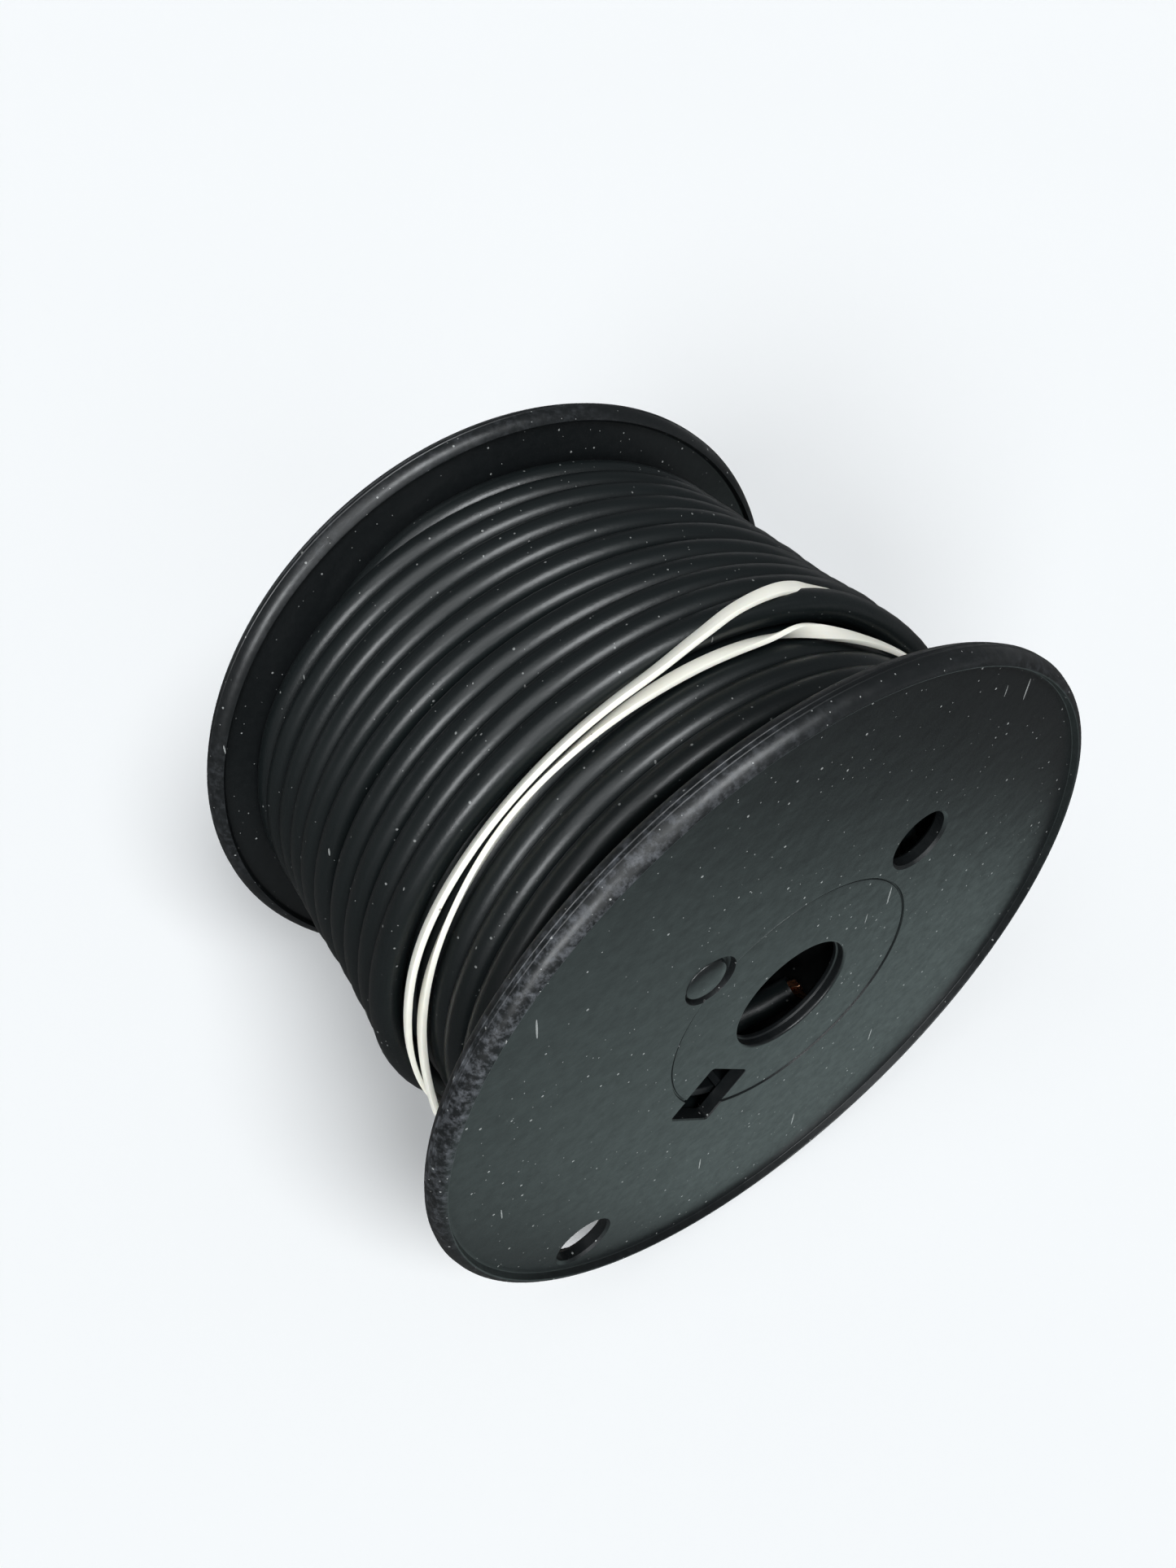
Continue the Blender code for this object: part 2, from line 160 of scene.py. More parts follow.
# Axial places of the turns where they pass the reference angle, and how far each is tilted
# and, in the outer layer, lifted off the turns below.
SIXTH_PLACES = (-0.0252, -0.01974, -0.01663, -0.01365, -0.0105, -0.0070, -0.0035, 0.0, 0.0035,
                0.0070, 0.0104, 0.0138, 0.0172, 0.0206, 0.0240, 0.0262)
SIXTH_TILT = (0.0, 0.0002, 0.0003, 0.0003, 0.0003, 0.0004, 0.0005, 0.0006, 0.0008,
              0.0010, 0.0010, 0.0010, 0.0010, 0.0010, 0.0008, 0.0)
OUTER_PLACES = (0.0280, 0.02604, 0.02302, 0.01946, 0.01591, 0.01235, 0.00857, 0.00480, 0.00102,
                -0.00232, -0.00565, -0.00921, -0.0128)
OUTER_TILT = (0.0033, 0.0033, 0.0033, 0.0031, 0.0028, 0.0028, 0.0032, 0.0032, 0.0024,
              0.0018, 0.0011, 0.0011, 0.0009)
OUTER_LIFT = (0.0, 0.0, 0.0, 0.0001, 0.0, 0.0001, 0.0002, 0.0001, 0.0001, 0.0003, 0.0005, 0.0009,
              0.0006)


def tilted(place, tilt, degrees):
    """A turn lies a little aslant: this is its axial place at an angle."""
    lean = math.sin(math.radians(degrees - LEAN_MIDDLE)) + LEAN_OFFSET
    return max(-FLANGE_STOP, min(FLANGE_STOP, place + tilt * lean))


def tail_stations():
    """The start of the wire, from its cut end to where the first layer begins."""
    points = [Vector(point) for point in (*START_TAIL, *TAIL_LANDING)]
    return smooth_route(points, TAIL_STEPS)[:-1]


def lower_stations():
    """Five full layers, to and fro between the flanges."""
    stations = []
    total = int(LOWER_TURNS * HIDDEN_STEPS)
    for step in range(total + 1):
        turns = LOWER_TURNS * step / total
        run = turns / (LOWER_TURNS / LOWER_LAYERS)
        layer = min(int(run), LOWER_LAYERS - 1)
        share = run - layer
        y = FLANGE_STOP * (1 - 2 * share) * (1 if layer % 2 == 0 else -1)
        climb = smoothstep(share, LOWER_CLIMB, 1.0) if layer < LOWER_LAYERS - 1 else 0.0
        radius = layer_radius(layer + 1 + climb)
        stations.append(Vector((LOWER_START - 360 * turns, y, radius)))
    return stations


def last_reference(angle):
    """The nearest angle below this one at which the turn tables hold."""
    return angle - (angle - TURN_REFERENCE) % 360.0


def sixth_stations(first_angle):
    """The layer under the outer one: it shows next to the near flange."""
    stations = []
    base = last_reference(first_angle)
    angle = first_angle
    end = base - 360.0 * SIXTH_TURNS - SIXTH_REST
    while angle > end:
        shown = 1.0 + (base - angle) / 360.0 < SIXTH_SHOWN
        angle -= 360.0 / (SHOWN_STEPS if shown else HIDDEN_STEPS)
        place = 1.0 + (base - angle) / 360.0
        climb = smoothstep(first_angle - angle, 0.0, SIXTH_CLIMB)
        y = table_value(SIXTH_PLACES, place)
        y = -FLANGE_STOP + (tilted(y, table_value(SIXTH_TILT, place), angle) + FLANGE_STOP) * climb
        stations.append(Vector((angle, y, layer_radius(LOWER_LAYERS) + LAYER_STEP * climb)))
    return stations


def outer_stations(first_angle):
    """The outer layer, from the far flange to the band, then the finishing end."""
    stations = []
    base = last_reference(first_angle)
    angle = first_angle
    finish = base - 360.0 * OUTER_TURNS - (TURN_REFERENCE - FINISH_ARC[0])
    while angle > finish:
        angle = max(angle - 360.0 / SHOWN_STEPS, finish)
        place = 1.0 + (base - angle) / 360.0
        rise = smoothstep(base - angle, *OUTER_RISE)
        y = tilted(table_value(OUTER_PLACES, place), table_value(OUTER_TILT, place), angle)
        radius = layer_radius(LOWER_LAYERS + 2) + table_value(OUTER_LIFT, place)
        ending = 1.0 - smoothstep(angle, finish, finish + FINISH_BLEND)
        y += (FINISH_PLACE[0] - y) * ending
        radius += (FINISH_RADIUS - radius) * ending
        radius -= LAYER_STEP * (1.0 - rise)
        stations.append(Vector((angle, y, radius)))
    span = FINISH_ARC[0] - FINISH_ARC[1]
    steps = int(span / 360.0 * SHOWN_STEPS)
    for step in range(1, steps + 1):
        share = step / steps
        y = FINISH_PLACE[0] + (FINISH_PLACE[1] - FINISH_PLACE[0]) * share
        stations.append(Vector((finish - span * share, y, FINISH_RADIUS)))
    return stations


def wire_stations():
    stations = tail_stations() + lower_stations()
    stations += sixth_stations(stations[-1].x)
    stations += outer_stations(stations[-1].x)
    return stations


# ---------------------------------------------------------------- mesh helpers
def new_piece(name, mesh, material):
    piece = bpy.data.objects.new(name, mesh)
    mesh.materials.append(material)
    scene.collection.objects.link(piece)
    return piece


def mesh_from(name, corners, faces):
    mesh = bpy.data.meshes.new(name)
    mesh.from_pydata([tuple(corner) for corner in corners], [], faces)
    mesh.update()
    return mesh


def ring_faces(rings, count, closed=False):
    """Quads between rings of equal count, all facing outwards when the rings turn one way."""
    faces = []
    spans = rings if closed else rings - 1
    for ring in range(spans):
        here, there = ring * count, (ring + 1) % rings * count
        for k in range(count):
            other = (k + 1) % count
            faces.append((here + k, there + k, there + other, here + other))
    return faces


def circle(centre, first, second, radius, sides):
    """Corners round a centre, in the plane of two directions."""
    turns = [2 * math.pi * side / sides for side in range(sides)]
    return [centre + (first * math.cos(t) + second * math.sin(t)) * radius for t in turns]


def rounded_rectangle(half_wide, half_high, corner, steps):
    """Points round a rectangle, each corner an arc of so many steps."""
    points = []
    for quarter in range(4):
        middle = math.pi / 2 * quarter + math.pi / 4
        cx = (half_wide - corner) * math.copysign(1, math.cos(middle))
        cy = (half_high - corner) * math.copysign(1, math.sin(middle))
        for step in range(steps + 1):
            t = middle - math.pi / 4 + math.pi / 2 * step / steps
            points.append((cx + corner * math.cos(t), cy + corner * math.sin(t)))
    return points


def add_places(mesh, name, places):
    """A vector for each corner, for the materials to read."""
    attribute = mesh.attributes.new(name, "FLOAT_VECTOR", "POINT")
    attribute.data.foreach_set("vector", [value for place in places for value in place])


def outward(mesh):
    """Turn every face of a closed mesh outwards."""
    shape = bmesh.new()
    shape.from_mesh(mesh)
    bmesh.ops.recalc_face_normals(shape, faces=shape.faces)
    shape.to_mesh(mesh)
    shape.free()


def smooth_by_angle(mesh, degrees):
    """Shade smooth, but for edges sharper than this."""
    mesh.shade_smooth()
    mesh.set_sharp_from_angle(angle=math.radians(degrees))


# ---------------------------------------------------------------- the wire
WIRE_SIDES = 20
CUT_BURR = 0.00012          # how far the cut end's edge is dragged out
CUT_PROFILE = (             # a cut end from the floor of its bore outwards, as (depth, radius)
    (CONDUCTOR_BORE_DEPTH, CONDUCTOR_BORE), (0.0001, CONDUCTOR_BORE), (0.0, 0.00128),
    (0.0, WIRE_RADIUS - 0.0003), (-CUT_BURR, WIRE_RADIUS - 0.00004), (0.00015, WIRE_RADIUS),
)
STRAND_SIDES, STRAND_RINGS = 10, 9
STRAND_TWIST = 24.0         # degrees, over a strand's shown and hidden length
STRAND_ROOT_GAP = 0.0003    # between the strands' inner ends and the floor of the bore
STRAND_SPLAY = 0.10         # most that a strand stands away from its neighbours at its tip
STRAND_FAN = 0.4            # how far bent strands spread past the cut end
TIP_UNEVEN = (-0.00016, 0.00022)
TIP_TAPER = 0.82
TIP_BEVEL = 0.00005
TUBE_CREASE = 50.0          # degrees; edges sharper than this stay sharp


def make_wire(material):
    """One continuous wire: a round tube along its whole route, bored at both ends for the strands."""
    stations = wire_stations()
    path = [around(*station) for station in stations]
    lengths = [0.0]
    for first, second in zip(path, path[1:]):
        lengths.append(lengths[-1] + (second - first).length)
    corners, places = [], []

    def add_ring(centre, tangent, radius, along):
        outwards = Vector((centre.x, 0.0, centre.z)).normalized()
        across = tangent.cross(outwards).normalized()
        up = across.cross(tangent).normalized()
        corners.extend(circle(centre, up, across, radius, WIRE_SIDES))
        turns = [2 * math.pi * side / WIRE_SIDES for side in range(WIRE_SIDES)]
        places.extend((along, angle * WIRE_RADIUS, 0.0) for angle in turns)

    tangents = []
    for index in range(len(path)):
        before, after = path[max(index - 1, 0)], path[min(index + 1, len(path) - 1)]
        tangents.append((after - before).normalized())
    first, last = tangents[0], tangents[-1]
    for inset, radius in CUT_PROFILE:
        add_ring(path[0] + first * inset, first, radius, 0.0)
    for index in range(1, len(path) - 1):
        add_ring(path[index], tangents[index], WIRE_RADIUS, lengths[index])
    for inset, radius in reversed(CUT_PROFILE):
        add_ring(path[-1] - last * inset, last, radius, lengths[-1])
    faces = ring_faces(len(corners) // WIRE_SIDES, WIRE_SIDES)
    faces.append(tuple(range(WIRE_SIDES)))
    faces.append(tuple(reversed(range(len(corners) - WIRE_SIDES, len(corners)))))
    mesh = mesh_from("wire", corners, faces)
    outward(mesh)
    add_places(mesh, "wire_place", places)
    smooth_by_angle(mesh, TUBE_CREASE)
    return new_piece("wire", mesh, material), path, lengths[-1], (first, last)


def make_strands(name, end, inwards, material, reach=0.0, bend=Vector()):
    """Nineteen twisted copper strands in a bored end of the wire, bent over where they reach out."""
    across = inwards.orthogonal().normalized()
    beside = inwards.cross(across)
    corners, faces = [], []
    draws = random.Random(name)
    for row in range(-2, 3):
        for column in range(-2, 3):
            if abs(row + column) > 2:
                continue
            u = STRAND_PITCH * (column + row / 2)
            v = STRAND_PITCH * row * math.sqrt(3) / 2
            tip = STRAND_STICK_OUT + reach + draws.uniform(*TIP_UNEVEN)
            splay = draws.uniform(0.0, STRAND_SPLAY)
            base = len(corners)
            for ring in range(STRAND_RINGS):
                share = ring / (STRAND_RINGS - 1)
                depth = (CONDUCTOR_BORE_DEPTH - STRAND_ROOT_GAP) * (1 - share) - tip * share
                swing = math.radians(STRAND_TWIST) * share
                spread = 1.0 + splay * smoothstep(share, 0.8, 1.0)
                x = (u * math.cos(swing) - v * math.sin(swing)) * spread
                y = (u * math.sin(swing) + v * math.cos(swing)) * spread
                radius = STRAND_RADIUS * (TIP_TAPER if ring in (0, STRAND_RINGS - 1) else 1.0)
                if ring == STRAND_RINGS - 2:
                    depth = -tip + TIP_BEVEL
                centre = end + inwards * depth + across * x + beside * y
                if reach:
                    past_cut = smoothstep(-depth, 0.0, tip)
                    centre += (bend + (across * x + beside * y) * STRAND_FAN) * past_cut
                corners += circle(centre, across, beside, radius, STRAND_SIDES)
            tube = ring_faces(STRAND_RINGS, STRAND_SIDES)
            tip_base = (STRAND_RINGS - 1) * STRAND_SIDES
            tube.append(tuple(range(STRAND_SIDES)))
            tube.append(tuple(tip_base + k for k in reversed(range(STRAND_SIDES))))
            faces += [tuple(base + k for k in face) for face in tube]
    mesh = mesh_from(name, corners, faces)
    outward(mesh)
    smooth_by_angle(mesh, TUBE_CREASE)
    return new_piece(name, mesh, material)


# ---------------------------------------------------------------- turned and cut plastic
def filleted(corners, steps=5):
    """A closed outline whose corners (radius, depth, fillet) are rounded with small arcs."""
    outline = []
    count = len(corners)
    for index, (x, y, fillet) in enumerate(corners):
        here = Vector((x, y))
        before = Vector(corners[index - 1][:2]) - here
        after = Vector(corners[(index + 1) % count][:2]) - here
        angle = before.angle(after)
        if fillet <= 0.0 or angle > math.radians(176):
            outline.append((x, y))
            continue
        back = min(fillet / math.tan(angle / 2), before.length * 0.48, after.length * 0.48)
        start, end = here + before.normalized() * back, here + after.normalized() * back
        for step in range(steps + 1):
            t = step / steps
            point = start * (1 - t) ** 2 + here * 2 * t * (1 - t) + end * t * t
            outline.append((point.x, point.y))
    return outline


def turned_mesh(name, outline, segments):
    """A ring turned about the Y axis from a closed outline of (radius, y)."""
    corners = []
    for segment in range(segments):
        angle = 2 * math.pi * segment / segments
        for radius, y in outline:
            corners.append((radius * math.cos(angle), y, radius * math.sin(angle)))
    mesh = mesh_from(name, corners, ring_faces(segments, len(outline), closed=True))
    outward(mesh)
    return mesh


def plug_mesh(name, levels, outline, segments):
    """A solid from one outline, grown by so much at each level (y, growth), with flat ends."""
    corners = []
    for y, grow in levels:
        for x, z in outline(grow, segments):
            corners.append((x, y, z))
    count = len(corners) // len(levels)
    faces = ring_faces(len(levels), count)
    faces.append(tuple(range(count)))
    faces.append(tuple(reversed(range(len(corners) - count, len(corners)))))
    mesh = mesh_from(name, corners, faces)
    outward(mesh)
    return mesh


def face_place(place, side):
    """World x and z of a feature on a flange; the far flange is the same moulding, turned round."""
    distance, degrees = place
    angle = math.radians(degrees)
    return -side * distance * math.cos(angle), distance * math.sin(angle)


def round_outline(centre, radius):
    """A circle, as a function of its growth and its number of points."""
    def outline(grow, segments):
        turns = [2 * math.pi * k / segments for k in range(segments)]
        size = radius + grow
        return [(centre[0] + size * math.cos(t), centre[1] + size * math.sin(t)) for t in turns]
    return outline


def square_outline(centre, side_length, corner, turn_angle):
    """A turned square with round corners, as a function of its growth and its number of points."""
    def outline(grow, segments):
        half = side_length / 2 + grow
        c, s = math.cos(turn_angle), math.sin(turn_angle)
        points = rounded_rectangle(half, half, corner, segments // 4)
        return [(centre[0] + x * c - y * s, centre[1] + x * s + y * c) for x, y in points]
    return outline


def face_levels(side, levels):
    """Levels (y, growth) on one flange from levels (depth below the rim, growth)."""
    return [(side * (HALF_WIDTH - depth), grow) for depth, grow in levels]


def flared_levels(side, flare):
    """Levels of a cutter through the web whose edges are rounded where it breaks each face."""
    near_depth, far_depth = FACE_RECESS, FACE_RECESS + WEB_THICKNESS
    turns = [math.pi / 2 * step / FLARE_STEPS for step in range(FLARE_STEPS + 1)]
    levels = [(near_depth - CUTTER_BEFORE, flare)]
    levels += [(near_depth + flare * math.sin(t), flare * (1 - math.cos(math.pi / 2 - t))) for t in turns]
    levels += [(far_depth - flare * math.cos(t), flare * (1 - math.cos(t))) for t in turns]
    levels.append((far_depth + CUTTER_BEYOND, flare))
    return face_levels(side, levels)


def cut(mesh_object, tools):
    """Apply boolean tools (mesh, operation) to an object and leave the result in its mesh."""
    helpers = []
    for tool_mesh, operation in tools:
        helper = bpy.data.objects.new(tool_mesh.name, tool_mesh)
        scene.collection.objects.link(helper)
        helpers.append(helper)
        step = mesh_object.modifiers.new(tool_mesh.name, "BOOLEAN")
        step.object = helper
        step.operation = operation
        step.solver = "EXACT"
    bpy.context.view_layer.update()
    evaluated = mesh_object.evaluated_get(bpy.context.evaluated_depsgraph_get())
    result = bpy.data.meshes.new_from_object(evaluated)
    result.name = mesh_object.name
    mesh_object.modifiers.clear()
    mesh_object.data = result
    for helper in helpers:
        bpy.data.objects.remove(helper, do_unlink=True)


# Corners of a flange's outline, as (radius, depth below the rim, fillet).
FACE_CORNERS = (            # from the arbor hole over the outer face to the rim bead
    (0.00762, 0.00108, 0.00034), (0.01300, 0.00108, 0.0), (0.01590, 0.00110, 0.0),
    (0.01634, 0.00112, 0.0), (0.01642, 0.00126, 0.00004), (0.01656, 0.00128, 0.00004),
    (0.01664, 0.00100, 0.00003), (0.01690, 0.00100, 0.0), (0.04255, 0.00100, 0.0),
    (0.04292, 0.00094, 0.00010), (0.04306, 0.00014, 0.00010),
)
BACK_CORNERS = (            # from the rim bead over the inner face to the arbor hole again
    (0.04310, 0.00354, 0.00020), (0.04280, 0.0027, 0.00035),
    (0.01600, 0.0027, 0.00010), (0.01600, 0.0057, 0.00015), (0.01510, 0.0057, 0.00015),
    (0.01510, 0.0027, 0.00015), (0.00746, 0.0027, 0.00020), (0.00746, 0.00220, 0.00006),
    (0.00762, 0.00206, 0.00006),
)
BEAD_RADIUS = 0.0018        # the rim's round outer side
BEAD_SPAN = 74              # degrees of it, each way from the parting line
BEAD_RIDGES = (-9.0, 6.0)   # two fine moulding ridges along it, in the same degrees
RIDGE_HEIGHT = 0.00007
RIDGE_HALF = 2.5            # degrees from a ridge's crest to its foot
RIDGE_ZONE = 14             # degrees from the parting line within which the ridges lie
BEAD_STEP = 6               # degrees between points of the bead outside that zone
BARREL_PLAY = 0.0003        # gap between the barrel's end and each flange
WIRE_HOLE_RADIUS = 0.0030
WIRE_HOLE_OVER = 0.6        # how far its cutter reaches past the wall, as a share of the wire's way
FLANGE_SEGMENTS = 240
BARREL_SEGMENTS = 160
WIRE_HOLE_SEGMENTS = 48
FLANGE_CREASE, BARREL_CREASE = 28.0, 30.0
FLARE_STEPS = 4
CUTTER_BEFORE, CUTTER_BEYOND = 0.0015, 0.0045
HOLE_FLARE = 0.0003         # rounding of the round holes' edges
DRIVE_FLARE = 0.00014       # and of the square hole's
# The gate's well and the domed stub in it, as (depth below the rim, growth of the outline).
WELL_LEVELS = ((-0.0005, 0.0002), (0.0009, 0.0002), (0.00106, 0.00005), (0.0012, 0.0),
               (0.00175, -0.0001), (0.0019, -0.0004))
STUB_LEVELS = ((0.00062, -0.0022), (0.00064, -0.0016), (0.00070, -0.0009), (0.00080, -0.00035),
               (0.00094, -0.00008), (0.00112, 0.00003), (0.0013, 0.00008), (0.0023, 0.0001))


def bead_corners():
    """The round outer side of the rim, with its ridges, from the near edge to the inner edge."""
    points = []
    for degrees in range(BEAD_SPAN, -BEAD_SPAN - 1, -1):
        if degrees % BEAD_STEP and abs(degrees) > RIDGE_ZONE:
            continue
        lift = sum(max(0.0, 1.0 - abs(degrees - ridge) / RIDGE_HALF) for ridge in BEAD_RIDGES)
        angle = math.radians(degrees)
        reach = BEAD_RADIUS + RIDGE_HEIGHT * lift
        radius = FLANGE_RADIUS - BEAD_RADIUS + reach * math.cos(angle)
        points.append((radius, BEAD_RADIUS - reach * math.sin(angle), 0.0))
    return points


def make_flange(name, side, material):
    """A flange with its holes and its gate; side is -1 for the near one and 1 for the far one."""
    corners = [*FACE_CORNERS, *bead_corners(), *BACK_CORNERS]
    outline = [(radius, side * (HALF_WIDTH - depth)) for radius, depth in filleted(corners)]
    piece = new_piece(name, turned_mesh(name, outline, FLANGE_SEGMENTS), material)
    start_outline = round_outline(face_place(START_HOLE, side), START_HOLE_RADIUS)
    rim_outline = round_outline(face_place(RIM_HOLE, side), RIM_HOLE_RADIUS)
    x, z = face_place(DRIVE_HOLE, side)
    drive_outline = square_outline((x, z), DRIVE_HOLE_SIDE, DRIVE_HOLE_CORNER, math.atan2(z, x))
    x, z = face_place(GATE, side)
    well_outline = round_outline((x, z), GATE_RADIUS)
    shift = Vector((x, z)).normalized() * GATE_STUB_SHIFT
    stub_outline = round_outline((x + shift.x, z + shift.y), GATE_STUB_RADIUS)
    hole_levels = flared_levels(side, HOLE_FLARE)
    tools = []
    for tool_name, levels, tool_outline, segments, operation in (
            ("start_cut", hole_levels, start_outline, 72, "DIFFERENCE"),
            ("rim_cut", hole_levels, rim_outline, 72, "DIFFERENCE"),
            ("drive_cut", flared_levels(side, DRIVE_FLARE), drive_outline, 20, "DIFFERENCE"),
            ("well_cut", face_levels(side, WELL_LEVELS), well_outline, 64, "DIFFERENCE"),
            ("stub", face_levels(side, STUB_LEVELS), stub_outline, 56, "UNION")):
        tools.append((plug_mesh(tool_name, levels, tool_outline, segments), operation))
    cut(piece, tools)
    smooth_by_angle(piece.data, FLANGE_CREASE)
    weights = piece.modifiers.new("Face weights", "WEIGHTED_NORMAL")
    weights.keep_sharp = True
    return piece


def make_barrel(material):
    """The hollow barrel, with the hole through which the wire comes in."""
    half = INNER_HALF - BARREL_PLAY
    corners = ((BARREL_RADIUS, -half, 0.0003), (BARREL_RADIUS, half, 0.0003),
               (BARREL_BORE_RADIUS, half, 0.0002), (BARREL_BORE_RADIUS, -half, 0.0002))
    tube = turned_mesh("barrel_tube", filleted(corners), BARREL_SEGMENTS)
    piece = new_piece("barrel_tube", tube, material)
    outside, inside = around(*START_TAIL[-1]), around(*START_TAIL[-3])
    reach = (inside - outside) * WIRE_HOLE_OVER
    start, end = outside - reach, inside + reach
    axis = (end - start).normalized()
    across = axis.orthogonal().normalized()
    beside = axis.cross(across)
    sides = WIRE_HOLE_SEGMENTS
    corners = circle(start, across, beside, WIRE_HOLE_RADIUS, sides)
    corners += circle(end, across, beside, WIRE_HOLE_RADIUS, sides)
    faces = ring_faces(2, sides) + [tuple(range(sides)), tuple(reversed(range(sides, 2 * sides)))]
    tool = mesh_from("wire_hole_cut", corners, faces)
    outward(tool)
    cut(piece, [(tool, "DIFFERENCE")])
    smooth_by_angle(piece.data, BARREL_CREASE)
    return piece


# ---------------------------------------------------------------- rubber band
# Two laps round the pack: (degrees above +X, y, radius, roll in degrees).
BAND_ROUTE = (
    (-170, -0.0128, 0.0380, 10), (-190, -0.0122, 0.0381, 15), (-205, -0.0120, 0.0384, 25),
    (-222, -0.0120, 0.0384, 35), (-236, -0.0120, 0.0384, 35), (-250, -0.0121, 0.0386, 30),
    (-258, -0.0122, 0.0390, 25), (-266, -0.0118, 0.0398, 20), (-273, -0.0111, 0.0405, 10),
    (-281, -0.0103, 0.0406, -10), (-287, -0.0094, 0.0399, -20), (-293, -0.0088, 0.0391, -10),
    (-301, -0.0087, 0.0388, 0), (-312, -0.0091, 0.0386, 0), (-325, -0.0099, 0.0381, 0),
    (-342, -0.0104, 0.0375, 0), (-375, -0.0104, 0.0374, 0), (-420, -0.0103, 0.0374, 0),
    (-455, -0.0104, 0.0378, 0), (-475, -0.0106, 0.0392, 0), (-498, -0.0114, 0.0408, 0),
    (-514, -0.0132, 0.0396, 0), (-530, -0.0146, 0.0379, 0), (-550, -0.0131, 0.0369, 10),
    (-570, -0.0127, 0.0369, 45),
    (-588, -0.0122, 0.0369, 62), (-605, -0.0122, 0.0369, 35), (-622, -0.0124, 0.0368, 5),
    (-636, -0.0129, 0.0370, 20), (-644, -0.0134, 0.0374, 85), (-652, -0.0145, 0.0371, 155),
    (-665, -0.0157, 0.0368, 180), (-690, -0.0172, 0.0368, 180), (-720, -0.0180, 0.0368, 180),
    (-755, -0.0182, 0.0368, 180), (-795, -0.0181, 0.0368, 180), (-830, -0.0175, 0.0370, 170),
    (-848, -0.0167, 0.0374, 90), (-862, -0.0157, 0.0372, 15), (-878, -0.0140, 0.0374, 5),
)
BAND_STEPS = 16             # stations in each span
BAND_CORNER, BAND_CORNER_STEPS = 0.00012, 2
BAND_CREASE = 40.0
TWO_LAPS = Vector((-720.0, 0.0, 0.0, 0.0))


def make_band(material):
    """The rubber band: a closed loop of two laps with a flat section that rolls along the way."""
    points = [Vector(point) for point in BAND_ROUTE]
    joined = [points[-1] - TWO_LAPS, *points, points[0] + TWO_LAPS, points[1] + TWO_LAPS]
    stations = smooth_route(joined, BAND_STEPS)[BAND_STEPS:-BAND_STEPS - 1]
    section = rounded_rectangle(BAND_WIDTH / 2, BAND_THICKNESS / 2, BAND_CORNER, BAND_CORNER_STEPS)
    path = [around(*station[:3]) for station in stations]
    corners, places = [], []
    along = 0.0
    for index, centre in enumerate(path):
        tangent = (path[(index + 1) % len(path)] - path[index - 1]).normalized()
        outwards = Vector((centre.x, 0.0, centre.z)).normalized()
        across = tangent.cross(outwards).normalized()
        up = across.cross(tangent).normalized()
        roll = math.radians(stations[index][3])
        wide = across * math.cos(roll) + up * math.sin(roll)
        thick = up * math.cos(roll) - across * math.sin(roll)
        along += (centre - path[index - 1]).length if index else 0.0
        for x, y in section:
            corners.append(centre + wide * x + thick * y)
            places.append((along, x, y))
    mesh = mesh_from("band", corners, ring_faces(len(path), len(section), closed=True))
    outward(mesh)
    add_places(mesh, "band_place", places)
    smooth_by_angle(mesh, BAND_CREASE)
    return new_piece("band", mesh, material)


# ---------------------------------------------------------------- procedural materials
class Shader:
    """A small builder for node materials round one Principled shader."""

    def __init__(self, name):
        self.material = bpy.data.materials.new(name)
        self.material.use_nodes = True
        self.tree = self.material.node_tree
        self.principled = self.tree.nodes["Principled BSDF"]

    def node(self, kind, inputs=None, **settings):
        made = self.tree.nodes.new(kind)
        for key, value in settings.items():
            setattr(made, key, value)
        for key, value in (inputs or {}).items():
            self.put(made.inputs[key], value)
        return made

    def put(self, socket, value):
        if isinstance(value, bpy.types.NodeSocket):
            self.tree.links.new(value, socket)
        else:
            socket.default_value = value

    def set(self, **values):
        for key, value in values.items():
            self.put(self.principled.inputs[key.replace("_", " ")], value)

    def math(self, operation, first, second=0.0, clamp=False):
        made = self.node("ShaderNodeMath", {0: first, 1: second}, operation=operation)
        made.use_clamp = clamp
        return made.outputs[0]

    def remap(self, value, low, high, to_low=0.0, to_high=1.0):
        made = self.node("ShaderNodeMapRange", {"Value": value, "From Min": low, "From Max": high,
                                                "To Min": to_low, "To Max": to_high})
        return made.outputs["Result"]

    def mix(self, factor, first, second):
        made = self.node("ShaderNodeMix", data_type="RGBA")
        self.put(made.inputs["Factor"], factor)
        self.put(made.inputs[6], first)
        self.put(made.inputs[7], second)
        return made.outputs[2]

    def place(self):
        return self.node("ShaderNodeTexCoord").outputs["Object"]

    def attribute(self, name):
        return self.node("ShaderNodeAttribute", attribute_name=name).outputs["Vector"]

    def mapped(self, vector, scale, rotation=(0.0, 0.0, 0.0)):
        made = self.node("ShaderNodeMapping", {"Vector": vector, "Scale": scale, "Rotation": rotation})
        return made.outputs["Vector"]

    def noise(self, vector, scale, detail=3.0, roughness=0.55):
        made = self.node("ShaderNodeTexNoise", {"Vector": vector, "Scale": scale, "Detail": detail,
                                                "Roughness": roughness})
        return made.outputs["Fac"]

    def specks(self, vector, scale, size, share):
        """A mask of small dots: cells of a Voronoi pattern, of which only a share hold a dot."""
        cell = self.node("ShaderNodeTexVoronoi", {"Vector": vector, "Scale": scale, "Randomness": 1.0})
        near = self.math("LESS_THAN", cell.outputs["Distance"], size)
        pick = self.node("ShaderNodeSeparateColor", {"Color": cell.outputs["Color"]})
        chosen = self.math("LESS_THAN", pick.outputs["Red"], share)
        return self.math("MULTIPLY", near, chosen)

    def bumped(self, *layers):
        """Chain bump layers of (height, distance in metres)."""
        normal = None
        for height, distance in layers:
            made = self.node("ShaderNodeBump", {"Height": height, "Distance": distance, "Strength": 1.0})
            if normal is not None:
                self.put(made.inputs["Normal"], normal)
            normal = made.outputs["Normal"]
        self.put(self.principled.inputs["Normal"], normal)


